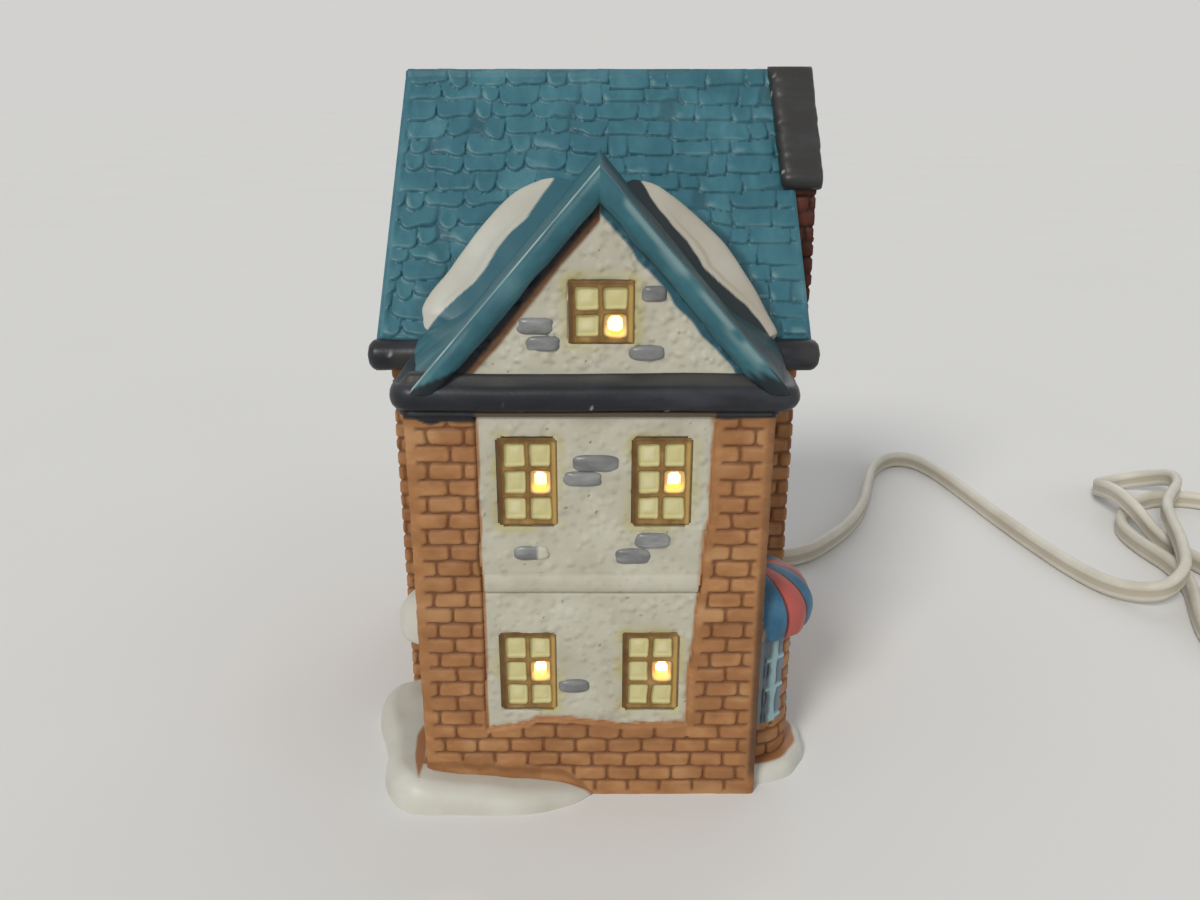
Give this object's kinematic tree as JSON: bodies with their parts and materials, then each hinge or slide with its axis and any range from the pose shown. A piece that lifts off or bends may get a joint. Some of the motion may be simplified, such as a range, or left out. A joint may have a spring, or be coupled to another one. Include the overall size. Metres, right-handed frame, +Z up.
{
  "type": "christmas village house",
  "caption": "Lit ceramic village house with a gabled front wing, snow, chimney hood, bow window and awning; a clip-in lamp on a switched cord lights its windows.",
  "frame": {"origin": "on the table under the middle of the house's bounding box, measured without its cord", "axes": "+Z up, +X to the viewer's right facing the gabled wing, +Y to the back, where the lamp goes in"},
  "size_m": [0.356, 0.2199, 0.142],
  "materials": {
    "brick": "satin",
    "stucco": "satin",
    "slate": "satin",
    "charcoal_trim": "satin",
    "bare_stone": "gloss",
    "window": "satin",
    "red_brick": "satin",
    "bow_glazing": "satin",
    "awning_paint": "satin",
    "door_paint": "satin",
    "snow": "gloss",
    "socket_plastic": "matte",
    "brass": "polished",
    "spring_steel": "brushed",
    "solder": "matte",
    "bulb_glass": "clear",
    "filament": "matte",
    "cord_vinyl": "satin",
    "tie": "matte",
    "moulded_plastic": "satin"
  },
  "bodies": {
    "house": {"main_walls": "brick", "main_roof": "slate", "gutter_front_left": "charcoal_trim", "gutter_front_right": "charcoal_trim", "gutter_rear": "charcoal_trim", "wing_walls": "brick", "wing_roof": "slate", "gable_wall": "stucco", "wing_cornice": "charcoal_trim", "bargeboard_left": "slate", "bargeboard_right": "slate", "plinth_band": "brick", "pilaster_left": "brick", "pilaster_right": "brick", "stucco_upper": "stucco", "stucco_lower": "stucco", "string_course": "stucco", "bare_stones": "bare_stone", "window_upper_left": "window", "window_upper_right": "window", "window_lower_left": "window", "window_lower_right": "window", "window_gable": "window", "windows_left_side": "window", "windows_right_side": "window", "windows_rear": "window", "chimney_breast": "red_brick", "chimney_hood": "charcoal_trim", "bow_window_base": "brick", "bow_window_glazing": "bow_glazing", "awning": "awning_paint", "side_door": "door_paint", "door_hood_snow": "snow", "snow_drift_left": "snow", "snow_lip_right": "snow", "roof_snow_left": "snow", "roof_snow_right": "snow"},
    "lamp_set": {"lamp_socket": "socket_plastic", "socket_screw_shell": "brass", "socket_contact": "brass", "socket_spring_clip": "spring_steel", "strain_relief": "socket_plastic", "cord_lead": "cord_vinyl", "cord_coil": "cord_vinyl", "cord_tie": "tie", "cord_tail": "cord_vinyl", "switch_base": "moulded_plastic", "switch_cover": "moulded_plastic", "switch_contacts": "brass", "switch_screw": "spring_steel", "cord_end": "cord_vinyl", "plug_body": "moulded_plastic", "plug_blades": "brass"},
    "bulb": {"bulb_base": "brass", "bulb_tip_contact": "solder", "bulb_glass": "bulb_glass", "bulb_filament": "filament"},
    "switch_wheel": {"switch_wheel": "moulded_plastic"}
  },
  "joints": [
    {"name": "lamp_slide", "type": "slide", "parent": "house", "child": "lamp_set", "axis": [0, 1, 0], "range_m": [0, 0.06]},
    {"name": "bulb_turn", "type": "hinge", "parent": "lamp_set", "child": "bulb", "pos_m": [-0.008, 0.02, 0.0245], "axis": [0, -1, 0], "range_deg": [0, 1080]},
    {"name": "switch_turn", "type": "hinge", "parent": "lamp_set", "child": "switch_wheel", "pos_m": [0.2301, -0.005, 0.0065], "axis": [0, 0, 1], "continuous": true}
  ]
}
